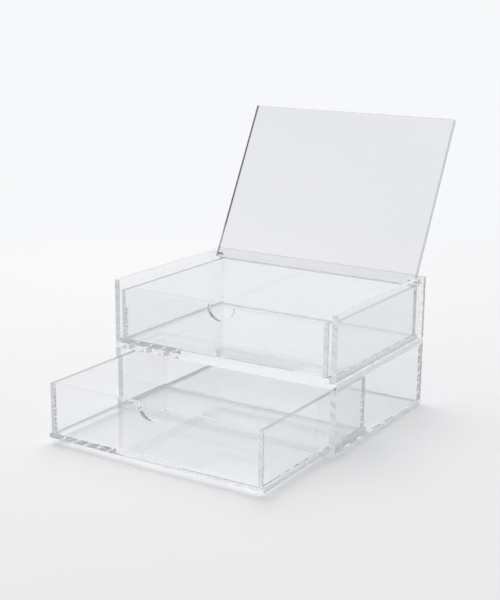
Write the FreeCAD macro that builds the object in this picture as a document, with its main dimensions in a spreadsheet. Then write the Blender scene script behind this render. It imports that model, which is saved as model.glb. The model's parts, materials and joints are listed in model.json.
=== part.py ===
import FreeCAD, Part
import os
import re
import Sketcher

# Clear acrylic drawer case: two tiers glued up from sheet, a flip-up lid on two steel pins
# and two drawers with a finger notch. It stands as in use: the lid leans back on its stop,
# the lower drawer is pulled out and the upper one is shut.
# Millimetres. Origin: centre of the base plate's underside. +X right, +Y back, +Z up.

doc = FreeCAD.newDocument("acrylic_drawer_case")

# Driving dimensions

SIZES = {
    "case_width": 175.0,
    "case_depth": 130.0,
    "base_thickness": 4.0,
    "shelf_thickness": 4.0,
    "side_thickness": 4.0,
    "back_thickness": 4.0,
    "lower_tier_height": 42.5,
    "upper_tier_height": 44.5,
    "floor_thickness": 3.0,
    "wall_thickness": 3.0,
    "runner_width": 2.0,
    "drawer_side_gap": 0.5,
    "drawer_back_gap": 1.5,
    "drawer_lift": 0.1,
    "drawer_proud": 0.5,
    "shelf_headroom": 4.4,
    "lid_headroom": 1.4,
    "notch_width": 21.0,
    "pull_out": 77.0,
    "lid_thickness": 4.0,
    "lid_side_gap": 0.5,
    "lid_top_gap": 1.0,
    "lid_tail": 2.5,
    "hinge_back_gap": 3.9,
    "stop_gap": 0.05,
    "pin_diameter": 2.0,
    "pin_length": 9.0,
    "pin_play": 0.05,
    "pin_end_gap": 0.5,
}

# Sizes worked out from them

FITS = {
    "inner_width": "case_width - 2 * side_thickness",
    "inner_depth": "case_depth - back_thickness",
    "shelf_level": "base_thickness + lower_tier_height",
    "upper_level": "shelf_level + shelf_thickness",
    "case_height": "upper_level + upper_tier_height",
    "case_left": "-case_width / 2",
    "case_front": "-case_depth / 2",
    "inner_left": "case_left + side_thickness",
    "inner_right": "-inner_left",
    "floor_width": "inner_width - 2 * drawer_side_gap",
    "drawer_depth": "inner_depth - drawer_back_gap + drawer_proud",
    "drawer_width": "floor_width - 2 * runner_width",
    "end_width": "drawer_width - 2 * wall_thickness",
    "lower_wall_level": "base_thickness + drawer_lift + floor_thickness",
    "upper_wall_level": "upper_level + drawer_lift + floor_thickness",
    "lower_wall_height": "shelf_level - shelf_headroom - lower_wall_level",
    "upper_wall_height": "case_height - lid_top_gap - lid_thickness - lid_headroom - upper_wall_level",
    "shut_front": "case_front - drawer_proud",
    "open_front": "case_front - pull_out",
    "lid_width": "inner_width - 2 * lid_side_gap",
    "hinge_back": "case_front + inner_depth - hinge_back_gap",
    "hinge_level": "case_height - lid_top_gap - lid_thickness / 2",
    "lid_reach": "hinge_back - case_front",
    "stop_rise": "case_height - hinge_level",
    "stop_span": "sqrt(hinge_back_gap ^ 2 + stop_rise ^ 2)",
    "lid_lean": "acos((lid_thickness / 2 + stop_gap) / stop_span) - atan(stop_rise / hinge_back_gap)",
    "lid_bore_depth": "pin_length - side_thickness - lid_side_gap + pin_end_gap",
    "lid_bore_diameter": "pin_diameter + 2 * pin_play",
}


def formula(text):
    """Turn plain size names into references to the two sheets."""
    def reference(word):
        name = word.group()
        if name in SIZES:
            return "sizes." + name
        return "fits." + name if name in FITS else name

    return re.sub(r"[a-z_]+", reference, text)


def make_sheet(name, label, cells):
    sheet = doc.addObject("Spreadsheet::Sheet", name)
    sheet.Label = label
    for row, (alias, content) in enumerate(cells.items(), start=1):
        sheet.set(f"A{row}", alias)
        sheet.set(f"B{row}", content)
        sheet.setAlias(f"B{row}", alias)
    doc.recompute()


make_sheet("sizes", "driving dimensions", {name: str(size) for name, size in SIZES.items()})
make_sheet("fits", "worked out sizes", {name: "=" + formula(text) for name, text in FITS.items()})


# Drawing helpers

def bind(thing, **texts):
    """Tie properties to size formulas; __ in a keyword stands for the dot of a property path."""
    for path, text in texts.items():
        thing.setExpression(path.replace("__", "."), formula(text))


def add_body(name, x, y, z):
    """A body whose own origin stands at x, y, z."""
    body = doc.addObject("PartDesign::Body", name)
    body.Label = name
    bind(body, Placement__Base__x=x, Placement__Base__y=y, Placement__Base__z=z)
    return body


def add_sketch(body, name, role, offset="0"):
    """A sketch on one of the body's origin planes, moved along the plane's normal."""
    sketch = body.newObject("Sketcher::SketchObject", body.Name + "_" + name)
    plane = next(item for item in body.Origin.OriginFeatures if item.Role == role)
    sketch.AttachmentSupport = (plane, [""])
    sketch.MapMode = "FlatFace"
    bind(sketch, AttachmentOffset__Base__z=offset)
    return sketch


def constrain(sketch, name, kind, points, text):
    """A named distance or diameter whose value is a size formula."""
    index = sketch.addConstraint(Sketcher.Constraint(kind, *points, 1.0))
    sketch.renameConstraint(index, name)
    bind(sketch, **{"Constraints__" + name: text})


def draw_rectangle(sketch, width, height, left="0", bottom="0"):
    """A rectangle whose low corner stands left and bottom of the sketch's origin."""
    unit = [(0, 0), (1, 0), (1, 1), (0, 1)]
    corners = [FreeCAD.Vector(across, up, 0) for across, up in unit]
    for index, corner in enumerate(corners):
        sketch.addGeometry(Part.LineSegment(corner, corners[(index + 1) % len(corners)]))
    for index in range(len(corners)):
        following = (index + 1) % len(corners)
        sketch.addConstraint(Sketcher.Constraint("Coincident", index, 2, following, 1))
        sketch.addConstraint(Sketcher.Constraint("Vertical" if index % 2 else "Horizontal", index))
    constrain(sketch, "width", "DistanceX", (0, 1, 0, 2), width)
    constrain(sketch, "height", "DistanceY", (1, 1, 1, 2), height)
    constrain(sketch, "left", "DistanceX", (-1, 1, 0, 1), left)
    constrain(sketch, "bottom", "DistanceY", (-1, 1, 0, 1), bottom)


def draw_circle(sketch, diameter, across="0", up="0"):
    sketch.addGeometry(Part.Circle(FreeCAD.Vector(1, 1, 0), FreeCAD.Vector(0, 0, 1), 1))
    constrain(sketch, "across", "DistanceX", (-1, 1, 0, 3), across)
    constrain(sketch, "up", "DistanceY", (-1, 1, 0, 3), up)
    constrain(sketch, "diameter", "Diameter", (0,), diameter)


def add_pad(body, sketch, length):
    pad = body.newObject("PartDesign::Pad", body.Name + "_pad")
    pad.Profile = sketch
    bind(pad, Length=length)


def add_pocket(body, sketch, depth, reverse):
    """Cut the sketch's shape; reverse cuts along the sketch's normal instead of against it."""
    pocket = body.newObject("PartDesign::Pocket", sketch.Name + "_pocket")
    pocket.Profile = sketch
    pocket.Reversed = reverse
    bind(pocket, Length=depth)


def add_panel(name, corner, width, depth, height):
    """A plain piece of sheet, with its low front left corner at the given place."""
    body = add_body(name, *corner)
    sketch = add_sketch(body, "outline", "XY_Plane")
    draw_rectangle(sketch, width, depth)
    add_pad(body, sketch, height)
    return body


# Case

def add_tier(name, level, height):
    """The two sides of one tier, and its back between them. Returns the sides."""
    sides = {}
    for hand, left in (("left", "case_left"), ("right", "inner_right")):
        corner = (left, "case_front", level)
        sides[hand] = add_panel(f"{name}_{hand}_side", corner, "side_thickness", "case_depth", height)
    corner = ("inner_left", "case_front + inner_depth", level)
    add_panel(f"{name}_back", corner, "inner_width", "back_thickness", height)
    return sides


def add_case():
    add_panel("base_plate", ("case_left", "case_front", "0"), "case_width", "case_depth", "base_thickness")
    add_tier("lower", "base_thickness", "lower_tier_height")
    corner = ("case_left", "case_front", "shelf_level")
    add_panel("shelf_plate", corner, "case_width", "case_depth", "shelf_thickness")
    sides = add_tier("upper", "upper_level", "upper_tier_height")
    for side in sides.values():
        bore = add_sketch(side, "pin_bore", "YZ_Plane")
        draw_circle(bore, "pin_diameter", "hinge_back - case_front", "hinge_level - upper_level")
        add_pocket(side, bore, "side_thickness", True)


def add_pins():
    """Steel pins, flush outside, pressed through the upper sides and loose in the lid."""
    for hand, outer_end in (("left", "case_left"), ("right", "-case_left - pin_length")):
        pin = add_body(f"{hand}_hinge_pin", outer_end, "hinge_back", "hinge_level")
        section = add_sketch(pin, "section", "YZ_Plane")
        draw_circle(section, "pin_diameter")
        add_pad(pin, section, "pin_length")


# Lid

def add_lid():
    """The lid's own origin is on the hinge line; shut, it lies level and reaches forward."""
    lid = add_body("lid", "0", "hinge_back", "hinge_level")
    outline = add_sketch(lid, "outline", "XY_Plane", "-lid_thickness / 2")
    draw_rectangle(outline, "lid_width", "lid_reach + lid_tail", "-lid_width / 2", "-lid_reach")
    add_pad(lid, outline, "lid_thickness")
    for hand, end, inwards in (("left", "-lid_width / 2", True), ("right", "lid_width / 2", False)):
        bore = add_sketch(lid, f"{hand}_bore", "YZ_Plane", end)
        draw_circle(bore, "lid_bore_diameter")
        add_pocket(lid, bore, "lid_bore_depth", inwards)
    lid.Placement.Rotation = FreeCAD.Rotation(FreeCAD.Vector(-1, 0, 0), 1)
    bind(lid, Placement__Rotation__Angle="90 deg + lid_lean")


# Drawers

def add_drawer(name, front, wall_level, wall_height):
    """A tray of five pieces. Its floor sticks out past the walls as two runners."""
    corner = ("-floor_width / 2", front, f"{wall_level} - floor_thickness")
    add_panel(f"{name}_floor", corner, "floor_width", "drawer_depth", "floor_thickness")
    for hand, left in (("left", "-drawer_width / 2"), ("right", "drawer_width / 2 - wall_thickness")):
        corner = (left, front, wall_level)
        add_panel(f"{name}_{hand}_wall", corner, "wall_thickness", "drawer_depth", wall_height)
    corner = ("-end_width / 2", f"{front} + drawer_depth - wall_thickness", wall_level)
    add_panel(f"{name}_back", corner, "end_width", "wall_thickness", wall_height)
    corner = ("-end_width / 2", front, wall_level)
    panel = add_panel(f"{name}_front", corner, "end_width", "wall_thickness", wall_height)
    notch = add_sketch(panel, "notch", "XZ_Plane")
    draw_circle(notch, "notch_width", "end_width / 2", wall_height)
    add_pocket(panel, notch, "wall_thickness", False)


add_case()
add_pins()
add_lid()
add_drawer("lower_drawer", "open_front", "lower_wall_level", "lower_wall_height")
add_drawer("upper_drawer", "shut_front", "upper_wall_level", "upper_wall_height")
doc.recompute()


# Checks and files

for item in doc.Objects:
    if "Invalid" in item.State or "Error" in item.State:
        raise RuntimeError(f"{item.Name} failed: {item.State}")

bodies = [item for item in doc.Objects if item.TypeId == "PartDesign::Body"]
for body in bodies:
    if body.Shape.isNull() or not body.Shape.isValid() or len(body.Shape.Solids) != 1:
        raise RuntimeError(f"{body.Label} is not one valid solid")

for pocket in (item for item in doc.Objects if item.TypeId == "PartDesign::Pocket"):
    if pocket.Shape.Volume >= pocket.BaseFeature.Shape.Volume:
        raise RuntimeError(f"{pocket.Name} cuts nothing")

os.makedirs("parts", exist_ok=True)
for body in bodies:
    body.Shape.exportStep(os.path.join("parts", body.Label + ".step"))
    box = body.Shape.BoundBox
    print(
        f"{body.Label}: x {box.XMin:.2f} to {box.XMax:.2f}, y {box.YMin:.2f} to {box.YMax:.2f},"
        f" z {box.ZMin:.2f} to {box.ZMax:.2f}, {body.Shape.Volume:.1f} mm3"
    )
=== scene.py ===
import json
import math

import bmesh
import bpy
from mathutils import Matrix, Vector


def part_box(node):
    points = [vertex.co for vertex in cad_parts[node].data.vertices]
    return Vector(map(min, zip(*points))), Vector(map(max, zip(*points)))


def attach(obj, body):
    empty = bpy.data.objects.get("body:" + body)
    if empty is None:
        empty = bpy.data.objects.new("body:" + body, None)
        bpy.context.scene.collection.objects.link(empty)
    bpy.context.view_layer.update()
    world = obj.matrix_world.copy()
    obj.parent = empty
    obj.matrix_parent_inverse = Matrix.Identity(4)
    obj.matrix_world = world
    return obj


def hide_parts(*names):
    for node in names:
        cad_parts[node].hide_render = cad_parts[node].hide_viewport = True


# Clear acrylic drawer case on a pale studio sweep. Metres, in the CAD model's own frame.

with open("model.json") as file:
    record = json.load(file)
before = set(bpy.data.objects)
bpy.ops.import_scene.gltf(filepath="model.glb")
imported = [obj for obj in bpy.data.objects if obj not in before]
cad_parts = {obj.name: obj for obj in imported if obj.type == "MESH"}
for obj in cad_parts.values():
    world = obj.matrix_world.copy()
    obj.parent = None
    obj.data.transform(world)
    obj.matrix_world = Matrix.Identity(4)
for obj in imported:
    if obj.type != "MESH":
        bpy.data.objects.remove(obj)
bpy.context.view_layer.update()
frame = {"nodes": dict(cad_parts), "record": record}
scene = bpy.context.scene
MM = 0.001


# Shapes

TOUCH = 0.01 * MM
SAME_POINT = 0.001 * MM
FLAT_ANGLE = math.radians(1)
SMOOTH_ANGLE = math.radians(15)
PARALLEL_COSINE = 0.9
MAINLY = 0.6
PIN_PLAY = 0.02 * MM
PIN_CHAMFER = 0.2 * MM
PIN_SIDES = 48


# Polished faces of the sheets

ACRYLIC_INDEX = 1.49
# One clear acrylic whose tint is set sheet by sheet to how bright each looks under this light: lighter and
# darker copies, painted light and painted shade. The lid's, the darkest, is painted shade
FACE_TINTS_LIT_AND_SHADED = {
    "case_face": (0.938, 0.946, 0.955, 1.0),
    "wall_face": (0.970, 0.973, 0.977, 1.0),
    "front_face": (0.985, 0.987, 0.99, 1.0),
    "level_face": (0.989, 0.993, 0.998, 1.0),
    "lid_face_painted_dark": (0.895, 0.895, 0.915, 1.0),
}
CLOUD_SCALE = 14.0
CLOUD_DETAIL = 1.0
CLOUD_DEPTH = 0.985
WAVE_HEIGHT = 0.01 * MM


# Cut edges of the sheets

FINE_SAW = 500.0
COARSE_SAW = 240.0
SAW_DETAIL = 2.0
SAW_ROUGHNESS = 0.6
MARKS_START = 0.35
MARKS_FULL = 0.6
POLISHED = (0.96, 0.965, 0.97, 1.0)
# The base plate's edges are painted paler than the other ground edges: painted light that offsets the shade
# they lie in down by the floor
BASE_GROUND_PAINTED_PALE = (0.9, 0.925, 0.94, 1.0)
# An edge is either polished and mostly clear or ground and mostly opaque.
# The saw's marks follow each other along direction, and ripple is their height.
EDGE_FINISHES = {
    "case_edge": {
        "direction": (1, 0, 0.25), "scale": FINE_SAW, "ripple": 0.0006 * MM,
        "colour": (0.9, 0.905, 0.925, 1.0), "shade": 0.02, "clear": 0.93, "roughness": 0.0,
    },
    "base_edge_painted_pale": {
        "direction": (1, 0, 0.6), "scale": FINE_SAW, "ripple": 0.002 * MM,
        "colour": BASE_GROUND_PAINTED_PALE, "shade": 0.08, "clear": 0.1, "roughness": 0.1,
    },
    "drawer_edge": {
        "direction": (1, 0, 0.6), "scale": FINE_SAW, "ripple": 0.0015 * MM,
        "colour": POLISHED, "shade": 0.02, "clear": 0.95, "roughness": 0.01,
    },
    "edge_along": {
        "direction": (0, 1, 0.6), "scale": FINE_SAW, "ripple": 0.004 * MM,
        "colour": (0.82, 0.85, 0.865, 1.0), "shade": 0.1, "clear": 0.2, "roughness": 0.08,
    },
    "base_side_painted_pale": {
        "direction": (0, 1, 0.6), "scale": FINE_SAW, "ripple": 0.004 * MM,
        "colour": BASE_GROUND_PAINTED_PALE, "shade": 0.1, "clear": 0.2, "roughness": 0.08,
    },
    "shelf_side": {
        "direction": (0, 1, 0.6), "scale": FINE_SAW, "ripple": 0.0006 * MM,
        "colour": POLISHED, "shade": 0.02, "clear": 0.96, "roughness": 0.0,
    },
    # Upright ends are painted darker grey at the left front and paler at the right, front and rear: painted
    # shade and painted light, with saw streaks on top
    "upright_edge_painted_dark": {
        "direction": (0.2, 0.2, 1), "scale": COARSE_SAW, "ripple": 0.004 * MM,
        "colour": (0.735, 0.76, 0.775, 1.0), "shade": 0.12, "clear": 0.06, "roughness": 0.1,
    },
    "streaked_edge_painted_pale": {
        "direction": (0.5, 0.3, 1), "scale": COARSE_SAW, "ripple": 0.004 * MM,
        "colour": (0.88, 0.91, 0.925, 1.0), "shade": 0.18, "clear": 0.06, "roughness": 0.1,
    },
    "rear_end_painted_pale": {
        "direction": (0.2, 0.2, 1), "scale": COARSE_SAW, "ripple": 0.004 * MM,
        "colour": (0.9, 0.92, 0.93, 1.0), "shade": 0.12, "clear": 0.06, "roughness": 0.1,
    },
    "clear_end": {
        "direction": (0.6, 0.6, 1), "scale": COARSE_SAW, "ripple": 0.002 * MM,
        "colour": POLISHED, "shade": 0.02, "clear": 0.95, "roughness": 0.02,
    },
    "edge_top": {
        "direction": (1, 1, 0), "scale": FINE_SAW, "ripple": 0.001 * MM,
        "colour": (0.80, 0.81, 0.83, 1.0), "shade": 0.06, "clear": 0.03, "roughness": 0.1,
    },
    # The drawer walls' top edges are a darker copy of edge_top: a painted dark line, painted shade
    "wall_top_painted_dark": {
        "direction": (1, 1, 0), "scale": FINE_SAW, "ripple": 0.001 * MM,
        "colour": (0.56, 0.58, 0.62, 1.0), "shade": 0.1, "clear": 0.03, "roughness": 0.1,
    },
    "round_cut": {
        "direction": (0.3, 1, 0.3), "scale": FINE_SAW, "ripple": 0.0005 * MM,
        "colour": POLISHED, "shade": 0.02, "clear": 0.8, "roughness": 0.0,
    },
    "lid_rim": {
        "direction": (1, 0.3, 0.3), "scale": FINE_SAW, "ripple": 0.0005 * MM,
        "colour": POLISHED, "shade": 0.02, "clear": 0.95, "roughness": 0.01,
    },
    "lid_foot": {
        "direction": (1, 0.3, 0.3), "scale": FINE_SAW, "ripple": 0.0005 * MM,
        "colour": (0.97, 0.975, 0.98, 1.0), "shade": 0.02, "clear": 0.05, "roughness": 0.1,
    },
}


# Ends of the lid, with painted shade and light seen from inside

# Seen from inside the sheet the ends are painted near black above and pale at the hinge: painted shade and
# painted light
LID_END_OUTSIDE = (0.74, 0.77, 0.785, 1.0)
LID_END_PAINTED_DARK_INSIDE = (0.02, 0.025, 0.03, 1.0)
LID_END_PAINTED_PALE_LOW = (0.85, 0.87, 0.88, 1.0)
LID_END_PAINTED_PALE_TO = 106 * MM
LID_END_PAINTED_DARK_FROM = 114 * MM
LID_END_SAW = (0.3, 0.6, 1)
LID_END_RIPPLE = 0.002 * MM
LID_END_ROUGHNESS = 0.1
LID_END_CLEAR = 0.04


# Hinge pins

PIN_STEEL = (0.56, 0.57, 0.58, 1.0)
PIN_DARK_STEEL = (0.46, 0.47, 0.48, 1.0)
PIN_SMOOTHEST = 0.22
PIN_ROUGHEST = 0.4
PIN_LINES = 3000.0
PIN_LINE_DETAIL = 2.0
PIN_LINE_STRETCH = (0.02, 1, 1)


# Studio

FLOOR_REACH = 30.0
FLOOR_GAP = 0.1 * MM
FLOOR_COLOUR = (0.92, 0.92, 0.925, 1.0)
BACKDROP_COLOUR = (0.93, 0.94, 0.955, 1.0)
BACKDROP_START = 0.2
BACKDROP_FULL = 1.0
HORIZON_TOP = 0.5
HORIZON_COLOUR = (0.98, 0.985, 0.995, 1.0)
CEILING_LOW = 0.65
CEILING_COLOUR = (0.48, 0.48, 0.48, 1.0)
FLAG_DIRECTION = (0.66, 0.66, 0.36)
FLAG_EDGE = 0.62
FLAG_CORE = 0.88
FLAG_COLOUR = (0.58, 0.58, 0.58, 1.0)
SOFTBOX_PLACE = Vector((-0.4, 0.35, 1.25))
SOFTBOX_SIZE = 1.3
SOFTBOX_RADIANCE = 1.68
LIT_POINT = Vector((0.0, 0.0, 0.05))
LIGHT_BOUNCES = 64


# Camera

FOCAL_PIXELS = 1238.2
PHOTO_HEIGHT_PIXELS = 600
SENSOR_MILLIMETRES = 36.0
CAMERA_NEAR = 0.01
CAMERA_FAR = 50.0
CAMERA_PLACE = Vector((0.4339, -0.7207, 0.2953))
CAMERA_TURN = math.radians(32.08)
CAMERA_DIP = math.radians(14.43)
CAMERA_ROLL = math.radians(0.53)


# Node helpers, whose owner is a material or the world

def new_material(name):
    material = bpy.data.materials.new(name)
    material.use_nodes = True
    material.node_tree.nodes.clear()
    return material


def add_node(owner, kind, **values):
    """A shader node; keywords with a capital set sockets, the rest set the node's own settings."""
    node = owner.node_tree.nodes.new(kind)
    for name, value in values.items():
        if name[0].isupper():
            node.inputs[name.replace("_", " ")].default_value = value
        else:
            setattr(node, name, value)
    return node


def link(owner, source, target):
    owner.node_tree.links.new(source, target)


def add_colour_mix(owner, share, first, second):
    """The colour between two others, each of which is a plain colour or another node's output."""
    mix = add_node(owner, "ShaderNodeMix", data_type="RGBA")
    # The node repeats its sockets' names for every kind of data, so the colour ones go by number
    share_socket, first_socket, second_socket = mix.inputs[0], mix.inputs[6], mix.inputs[7]
    link(owner, share, share_socket)
    for socket, colour in ((first_socket, first), (second_socket, second)):
        if isinstance(colour, bpy.types.NodeSocket):
            link(owner, colour, socket)
        else:
            socket.default_value = colour
    return mix.outputs[2]


def darken(colour, share):
    """The colour at a share of its own brightness."""
    return [share * part for part in colour[:3]] + [1.0]


def finish_material(material, shader):
    output = add_node(material, "ShaderNodeOutputMaterial")
    link(material, shader.outputs[0], output.inputs["Surface"])
    return material


# Materials

def add_acrylic(material, colour, roughness, clear):
    """A clear sheet's shader; the part that isn't clear scatters light in its own colour."""
    shader = add_node(
        material, "ShaderNodeBsdfPrincipled", Base_Color=colour, Roughness=roughness, IOR=ACRYLIC_INDEX
    )
    shader.inputs["Transmission Weight"].default_value = clear
    return shader


def make_face_material(name, tint):
    """The polished faces of cast sheet, with its faint clouding and long low waves."""
    material = new_material(name)
    shader = add_acrylic(material, tint, 0.0, 1.0)
    place = add_node(material, "ShaderNodeTexCoord")
    cloud = add_node(material, "ShaderNodeTexNoise", Scale=CLOUD_SCALE, Detail=CLOUD_DETAIL)
    link(material, place.outputs["Object"], cloud.inputs["Vector"])
    colour = add_colour_mix(material, cloud.outputs["Fac"], tint, darken(tint, CLOUD_DEPTH))
    link(material, colour, shader.inputs["Base Color"])
    wave = add_node(material, "ShaderNodeBump", Strength=1.0, Distance=WAVE_HEIGHT)
    link(material, cloud.outputs["Fac"], wave.inputs["Height"])
    link(material, wave.outputs["Normal"], shader.inputs["Normal"])
    return finish_material(material, shader)


def add_saw_ripple(material, shader, place, direction, scale, height):
    """Gives a cut edge the ripples that the saw leaves, and returns their pattern."""
    along = add_node(material, "ShaderNodeVectorMath", operation="DOT_PRODUCT")
    link(material, place.outputs["Object"], along.inputs[0])
    along.inputs[1].default_value = direction
    bars = add_node(
        material,
        "ShaderNodeTexNoise",
        noise_dimensions="1D",
        Scale=scale,
        Detail=SAW_DETAIL,
        Roughness=SAW_ROUGHNESS,
    )
    link(material, along.outputs["Value"], bars.inputs["W"])
    bump = add_node(material, "ShaderNodeBump", Strength=1.0, Distance=height)
    link(material, bars.outputs["Fac"], bump.inputs["Height"])
    link(material, bump.outputs["Normal"], shader.inputs["Normal"])
    return bars.outputs["Fac"]


def make_edge_material(name, direction, scale, ripple, colour, shade, clear, roughness):
    """A cut edge with the marks of the saw, which darken its colour by the shade."""
    material = new_material(name)
    shader = add_acrylic(material, colour, roughness, clear)
    place = add_node(material, "ShaderNodeTexCoord")
    bars = add_saw_ripple(material, shader, place, direction, scale, ripple)
    marks = add_node(material, "ShaderNodeMapRange", From_Min=MARKS_START, From_Max=MARKS_FULL)
    link(material, bars, marks.inputs["Value"])
    marked = add_colour_mix(material, marks.outputs["Result"], darken(colour, 1 - shade), colour)
    link(material, marked, shader.inputs["Base Color"])
    return finish_material(material, shader)


def make_lid_end_painted_shade_material(name):
    """The lid's two ends: pale from outside, and from inside the sheet painted pale at the hinge and painted
    dark above, painted light and shade in place of the sheet's inner reflections.
    """
    material = new_material(name)
    shader = add_acrylic(material, LID_END_OUTSIDE, LID_END_ROUGHNESS, LID_END_CLEAR)
    place = add_node(material, "ShaderNodeTexCoord")
    add_saw_ripple(material, shader, place, LID_END_SAW, COARSE_SAW, LID_END_RIPPLE)
    # Painted shade and light seen from inside the sheet: near black above, pale towards the hinge
    split = add_node(material, "ShaderNodeSeparateXYZ")
    link(material, place.outputs["Object"], split.inputs[0])
    height = add_node(material, "ShaderNodeMapRange", From_Min=LID_END_PAINTED_PALE_TO, From_Max=LID_END_PAINTED_DARK_FROM)
    link(material, split.outputs["Z"], height.inputs["Value"])
    inside = add_colour_mix(material, height.outputs["Result"], LID_END_PAINTED_PALE_LOW, LID_END_PAINTED_DARK_INSIDE)
    side = add_node(material, "ShaderNodeNewGeometry")
    colour = add_colour_mix(material, side.outputs["Backfacing"], LID_END_OUTSIDE, inside)
    link(material, colour, shader.inputs["Base Color"])
    return finish_material(material, shader)


def make_seam_material(name):
    """The patch where two sheets are welded together, which is fully clear."""
    material = new_material(name)
    return finish_material(material, add_node(material, "ShaderNodeBsdfTransparent"))


def make_pin_material(name):
    """Drawn steel, with the fine lines that the die leaves along it."""
    material = new_material(name)
    shader = add_node(material, "ShaderNodeBsdfPrincipled", Metallic=1.0)
    place = add_node(material, "ShaderNodeTexCoord")
    across = add_node(material, "ShaderNodeVectorMath", operation="MULTIPLY")
    link(material, place.outputs["Object"], across.inputs[0])
    across.inputs[1].default_value = PIN_LINE_STRETCH
    lines = add_node(material, "ShaderNodeTexNoise", Scale=PIN_LINES, Detail=PIN_LINE_DETAIL)
    link(material, across.outputs["Vector"], lines.inputs["Vector"])
    colour = add_colour_mix(material, lines.outputs["Fac"], PIN_STEEL, PIN_DARK_STEEL)
    link(material, colour, shader.inputs["Base Color"])
    roughness = add_node(material, "ShaderNodeMapRange", To_Min=PIN_SMOOTHEST, To_Max=PIN_ROUGHEST)
    link(material, lines.outputs["Fac"], roughness.inputs["Value"])
    link(material, roughness.outputs["Result"], shader.inputs["Roughness"])
    return finish_material(material, shader)


SHEET_MATERIALS = {}
for finish, tint in FACE_TINTS_LIT_AND_SHADED.items():
    SHEET_MATERIALS[finish] = make_face_material("acrylic_" + finish, tint)
for finish, values in EDGE_FINISHES.items():
    SHEET_MATERIALS[finish] = make_edge_material("acrylic_" + finish, **values)
SHEET_MATERIALS["lid_end_painted_shade"] = make_lid_end_painted_shade_material("acrylic_lid_end_painted_shade")
SHEET_MATERIALS["seam"] = make_seam_material("acrylic_seam")
FINISH_NAMES = list(SHEET_MATERIALS)
PIN_MATERIAL = make_pin_material("pin_steel")


# How the faces of a sheet are finished

BODY_NODES = frame["record"]["behaviour"]["bodies"]
BODY_OF = {node: body for body, nodes in BODY_NODES.items() for node in nodes}
PINS = ("left_hinge_pin", "right_hinge_pin")


def holds(box, point):
    """True if the point is in the box or on its skin."""
    low, high = box
    return all(low[axis] - TOUCH <= point[axis] <= high[axis] + TOUCH for axis in range(3))


def is_round(face):
    """True if the face is a facet of a notch or a hole."""
    angles = [edge.calc_face_angle(0) for edge in face.edges if len(edge.link_faces) == 2]
    return any(FLAT_ANGLE < angle < SMOOTH_ANGLE for angle in angles)


def broad_finish(node, sheet_axis):
    """The finish of a sheet's two broad faces."""
    if node == "lid":
        # The lid takes the darkest tint, painted shade
        return "lid_face_painted_dark"
    if abs(sheet_axis.z) > PARALLEL_COSINE:
        return "level_face"
    if BODY_OF[node] == "case":
        return "case_face"
    return "front_face" if node.endswith("_front") else "wall_face"


def lid_edge_finish(face):
    """The finish of one of the lid's edges."""
    if abs(face.normal.x) > MAINLY:
        return "lid_end_painted_shade"
    return "lid_foot" if face.normal.z < -MAINLY else "lid_rim"


def edge_finish(node, face, sheet_axis):
    """The finish of an edge of the case or a drawer, by the way that it faces and runs."""
    in_case = BODY_OF[node] == "case"
    at_left = face.calc_center_median().x < 0
    run = face.normal.cross(sheet_axis)
    if face.normal.z > MAINLY:
        # Drawer wall tops take the painted dark line
        return "wall_top_painted_dark" if abs(run.y) > MAINLY and not in_case else "edge_top"
    if abs(run.x) > MAINLY:
        if face.normal.y > 0:
            return "clear_end"
        # The base plate's front edge takes the painted pale colour
        if node == "base_plate":
            return "base_edge_painted_pale"
        return "case_edge" if in_case else "drawer_edge"
    if abs(run.y) > MAINLY:
        if node == "shelf_plate" and face.normal.x < 0:
            return "shelf_side"
        # The base plate's sides take the painted pale colour
        return "base_side_painted_pale" if node == "base_plate" else "edge_along"
    # Upright ends: painted paler at the right and darker at the left, painted light and painted shade
    if face.normal.y > 0:
        return "clear_end" if at_left else "rear_end_painted_pale"
    return "upright_edge_painted_dark" if at_left else "streaked_edge_painted_pale"


def face_finish(node, face, neighbours, sheet_axis):
    """The finish of one face of a sheet."""
    centre = face.calc_center_median()
    if any(holds(box, centre) for box in neighbours):
        return "seam"
    if abs(face.normal.dot(sheet_axis)) > PARALLEL_COSINE:
        return broad_finish(node, sheet_axis)
    if is_round(face):
        return "round_cut"
    if node == "lid":
        return lid_edge_finish(face)
    return edge_finish(node, face, sheet_axis)


# Sheets and pins

def seam_boxes(node):
    """The boxes of the sheets that are welded to this one."""
    return [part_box(other) for other in BODY_NODES[BODY_OF[node]] if other != node and other not in PINS]


def split_at_seams(mesh, neighbours):
    """Cuts the mesh where its neighbours end, so that each welded patch is a face of its own."""
    for box in neighbours:
        for corner in box:
            for axis in range(3):
                normal = Vector((0, 0, 0))
                normal[axis] = 1
                everything = mesh.verts[:] + mesh.edges[:] + mesh.faces[:]
                bmesh.ops.bisect_plane(mesh, geom=everything, plane_co=corner, plane_no=normal, dist=TOUCH)


def widest_face_normal(mesh):
    return max(mesh.faces, key=lambda face: face.calc_area()).normal.copy()


def add_piece(name, mesh, materials):
    """Turns the mesh into an object, shaded smooth where it is round and sharp at its real edges."""
    for face in mesh.faces:
        face.smooth = True
    for edge in mesh.edges:
        edge.smooth = len(edge.link_faces) == 2 and edge.calc_face_angle(0) < SMOOTH_ANGLE
    data = bpy.data.meshes.new(name)
    mesh.to_mesh(data)
    mesh.free()
    for material in materials:
        data.materials.append(material)
    piece = bpy.data.objects.new(name, data)
    scene.collection.objects.link(piece)
    return piece


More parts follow.
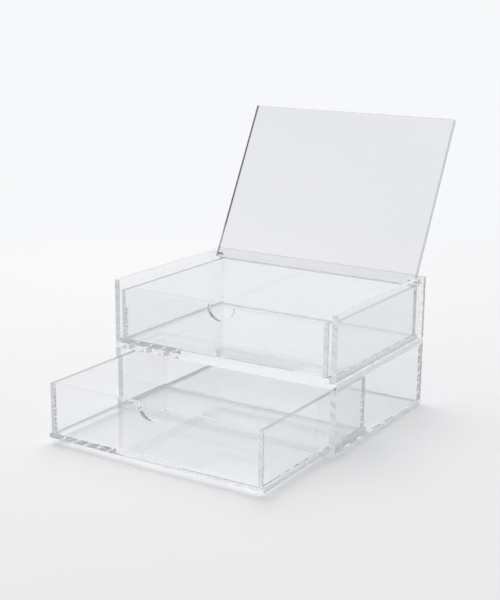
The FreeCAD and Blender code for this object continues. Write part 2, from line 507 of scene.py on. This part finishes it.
def add_sheet(node):
    """The sheet that stands for a CAD node, with whole faces and clear seams."""
    mesh = bmesh.new()
    mesh.from_mesh(frame["nodes"][node].data)
    bmesh.ops.remove_doubles(mesh, verts=mesh.verts, dist=SAME_POINT)
    bmesh.ops.dissolve_limit(
        mesh, angle_limit=FLAT_ANGLE, verts=mesh.verts, edges=mesh.edges, use_dissolve_boundaries=False
    )
    mesh.normal_update()
    sheet_axis = widest_face_normal(mesh)
    neighbours = seam_boxes(node)
    split_at_seams(mesh, neighbours)
    mesh.normal_update()
    for face in mesh.faces:
        face.material_index = FINISH_NAMES.index(face_finish(node, face, neighbours, sheet_axis))
    piece = add_piece(node + "_sheet", mesh, SHEET_MATERIALS.values())
    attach(piece, BODY_OF[node])
    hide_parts(node)


def add_pin(node):
    """A drawn pin with broken ends."""
    low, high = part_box(node)
    radius = (high.z - low.z) / 2 - PIN_PLAY
    half = (high.x - low.x) / 2 - PIN_PLAY
    mesh = bmesh.new()
    rings = []
    for along, across in (
        (-half, radius - PIN_CHAMFER),
        (-half + PIN_CHAMFER, radius),
        (half - PIN_CHAMFER, radius),
        (half, radius - PIN_CHAMFER),
    ):
        ring = []
        for side in range(PIN_SIDES):
            angle = math.tau * side / PIN_SIDES
            ring.append(mesh.verts.new((along, across * math.cos(angle), across * math.sin(angle))))
        rings.append(ring)
    for first, second in zip(rings, rings[1:]):
        for side in range(PIN_SIDES):
            following = (side + 1) % PIN_SIDES
            mesh.faces.new((first[side], second[side], second[following], first[following]))
    mesh.faces.new(rings[0])
    mesh.faces.new(reversed(rings[-1]))
    bmesh.ops.recalc_face_normals(mesh, faces=mesh.faces)
    bmesh.ops.translate(mesh, verts=mesh.verts, vec=(low + high) / 2)
    piece = add_piece(node + "_piece", mesh, [PIN_MATERIAL])
    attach(piece, BODY_OF[node])
    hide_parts(node)


for node in BODY_OF:
    if node in PINS:
        add_pin(node)
    else:
        add_sheet(node)


# Floor, light and camera

def add_floor():
    """A pale floor that fades into an evenly lit backdrop of the same paper."""
    material = new_material("studio_floor")
    place = add_node(material, "ShaderNodeTexCoord")
    distance = add_node(material, "ShaderNodeVectorMath", operation="LENGTH")
    link(material, place.outputs["Object"], distance.inputs[0])
    fade = add_node(
        material,
        "ShaderNodeMapRange",
        interpolation_type="SMOOTHERSTEP",
        From_Min=BACKDROP_START,
        From_Max=BACKDROP_FULL,
    )
    link(material, distance.outputs["Value"], fade.inputs["Value"])
    path = add_node(material, "ShaderNodeLightPath")
    seen = add_node(material, "ShaderNodeMath", operation="ADD")
    link(material, path.outputs["Is Camera Ray"], seen.inputs[0])
    link(material, path.outputs["Is Glossy Ray"], seen.inputs[1])
    seen_through = add_node(material, "ShaderNodeMath", operation="ADD", use_clamp=True)
    link(material, seen.outputs[0], seen_through.inputs[0])
    link(material, path.outputs["Is Transmission Ray"], seen_through.inputs[1])
    share = add_node(material, "ShaderNodeMath", operation="MULTIPLY")
    link(material, fade.outputs["Result"], share.inputs[0])
    link(material, seen_through.outputs[0], share.inputs[1])
    paper = add_node(material, "ShaderNodeBsdfDiffuse", Color=FLOOR_COLOUR)
    backdrop = add_node(material, "ShaderNodeEmission", Color=BACKDROP_COLOUR, Strength=1.0)
    blend = add_node(material, "ShaderNodeMixShader")
    link(material, share.outputs[0], blend.inputs[0])
    link(material, paper.outputs[0], blend.inputs[1])
    link(material, backdrop.outputs[0], blend.inputs[2])
    finish_material(material, blend)
    data = bpy.data.meshes.new("studio_floor")
    signs = ((-1, -1), (1, -1), (1, 1), (-1, 1))
    corners = [(x * FLOOR_REACH, y * FLOOR_REACH, -FLOOR_GAP) for x, y in signs]
    data.from_pydata(corners, [], [(0, 1, 2, 3)])
    data.materials.append(material)
    floor = bpy.data.objects.new("studio_floor", data)
    scene.collection.objects.link(floor)


def add_world():
    """A pale horizon, a dimmer ceiling and a darker flag at the right rear, which the camera doesn't see."""
    world = bpy.data.worlds.new("studio")
    scene.world = world
    world.use_nodes = True
    world.node_tree.nodes.clear()
    direction = add_node(world, "ShaderNodeTexCoord")
    split = add_node(world, "ShaderNodeSeparateXYZ")
    link(world, direction.outputs["Generated"], split.inputs[0])
    ramp = add_node(world, "ShaderNodeValToRGB")
    link(world, split.outputs["Z"], ramp.inputs["Fac"])
    horizon, ceiling = ramp.color_ramp.elements
    horizon.position = HORIZON_TOP
    horizon.color = HORIZON_COLOUR
    ceiling.position = CEILING_LOW
    ceiling.color = CEILING_COLOUR
    toward = add_node(world, "ShaderNodeVectorMath", operation="DOT_PRODUCT")
    link(world, direction.outputs["Generated"], toward.inputs[0])
    toward.inputs[1].default_value = FLAG_DIRECTION
    flag = add_node(
        world, "ShaderNodeMapRange", interpolation_type="SMOOTHSTEP", From_Min=FLAG_EDGE, From_Max=FLAG_CORE
    )
    link(world, toward.outputs["Value"], flag.inputs["Value"])
    lit = add_colour_mix(world, flag.outputs["Result"], ramp.outputs["Color"], FLAG_COLOUR)
    path = add_node(world, "ShaderNodeLightPath")
    seen = add_colour_mix(world, path.outputs["Is Camera Ray"], lit, BACKDROP_COLOUR)
    background = add_node(world, "ShaderNodeBackground", Strength=1.0)
    link(world, seen, background.inputs["Color"])
    output = add_node(world, "ShaderNodeOutputWorld")
    link(world, background.outputs[0], output.inputs["Surface"])


def add_softbox():
    """A square lamp that faces the case."""
    data = bpy.data.lights.new("top_softbox", "AREA")
    data.shape = "SQUARE"
    data.size = SOFTBOX_SIZE
    data.energy = SOFTBOX_RADIANCE * math.pi * SOFTBOX_SIZE * SOFTBOX_SIZE
    lamp = bpy.data.objects.new("top_softbox", data)
    scene.collection.objects.link(lamp)
    lamp.location = SOFTBOX_PLACE
    lamp.rotation_euler = (LIT_POINT - SOFTBOX_PLACE).to_track_quat("-Z", "Y").to_euler()


def add_camera():
    """The photograph's viewpoint, fitted to the corners of the panels."""
    data = bpy.data.cameras.new("photo_camera")
    data.sensor_fit = "VERTICAL"
    data.sensor_height = SENSOR_MILLIMETRES
    data.lens = FOCAL_PIXELS / PHOTO_HEIGHT_PIXELS * SENSOR_MILLIMETRES
    data.clip_start = CAMERA_NEAR
    data.clip_end = CAMERA_FAR
    camera = bpy.data.objects.new("photo_camera", data)
    scene.collection.objects.link(camera)
    camera.matrix_world = (
        Matrix.Translation(CAMERA_PLACE)
        @ Matrix.Rotation(CAMERA_TURN, 4, "Z")
        @ Matrix.Rotation(math.pi / 2 - CAMERA_DIP, 4, "X")
        @ Matrix.Rotation(CAMERA_ROLL, 4, "Z")
    )
    scene.camera = camera


def set_light_paths():
    """Enough bounces to pass through every sheet, with reflections inside them left sharp."""
    scene.cycles.max_bounces = LIGHT_BOUNCES
    scene.cycles.transmission_bounces = LIGHT_BOUNCES
    scene.cycles.glossy_bounces = LIGHT_BOUNCES
    scene.cycles.transparent_max_bounces = LIGHT_BOUNCES
    scene.cycles.blur_glossy = 0.0


add_floor()
add_world()
add_softbox()
add_camera()
set_light_paths()
scene.view_settings.view_transform = "Standard"
